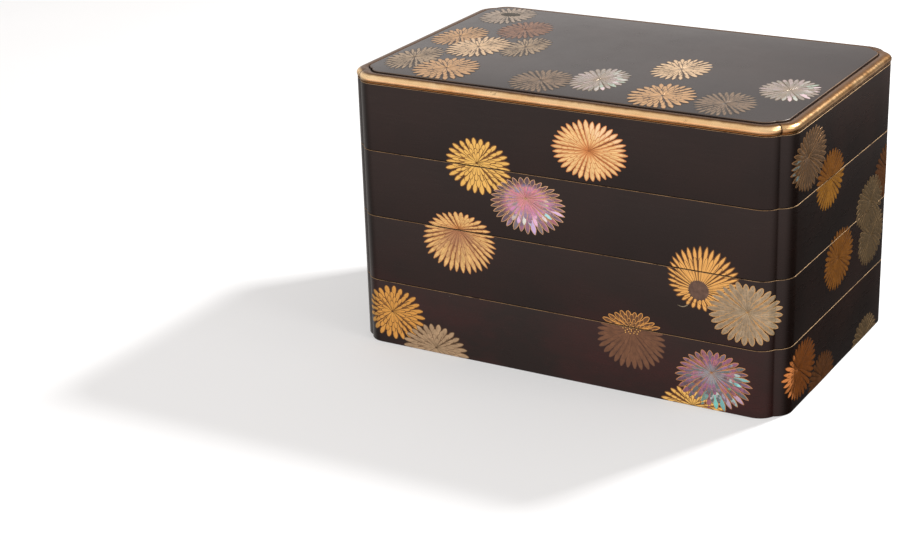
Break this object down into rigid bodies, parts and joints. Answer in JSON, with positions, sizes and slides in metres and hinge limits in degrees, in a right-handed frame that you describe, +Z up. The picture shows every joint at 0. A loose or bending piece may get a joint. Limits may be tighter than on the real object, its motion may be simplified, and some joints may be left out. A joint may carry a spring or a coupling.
{
  "type": "tiered lacquer writing box",
  "caption": "Stacked lacquer box for writing things: equal trays on one another under a gold-beaded, slightly swollen lid, with lobed corners and scattered chrysanthemums in gold and shell.",
  "frame": {"origin": "middle of the bottom tray's underside, on the surface that the box stands on", "axes": "+X along the box, +Z up, -Y towards the front"},
  "size_m": [0.25, 0.16, 0.1548],
  "materials": {
    "lacquer": "polished brown-black lacquer over wood",
    "gold": "sprinkled gold powder, burnished",
    "silver": "sprinkled silver powder, dulled with age",
    "copper": "sprinkled copper-brown powder",
    "shell": "inlaid mother-of-pearl, iridescent"
  },
  "bodies": {
    "root": {"tray_bottom": "lacquer", "tray_lower_middle": "lacquer", "tray_upper_middle": "lacquer", "tray_top": "lacquer", "lid": "lacquer"}
  },
  "joints": []
}
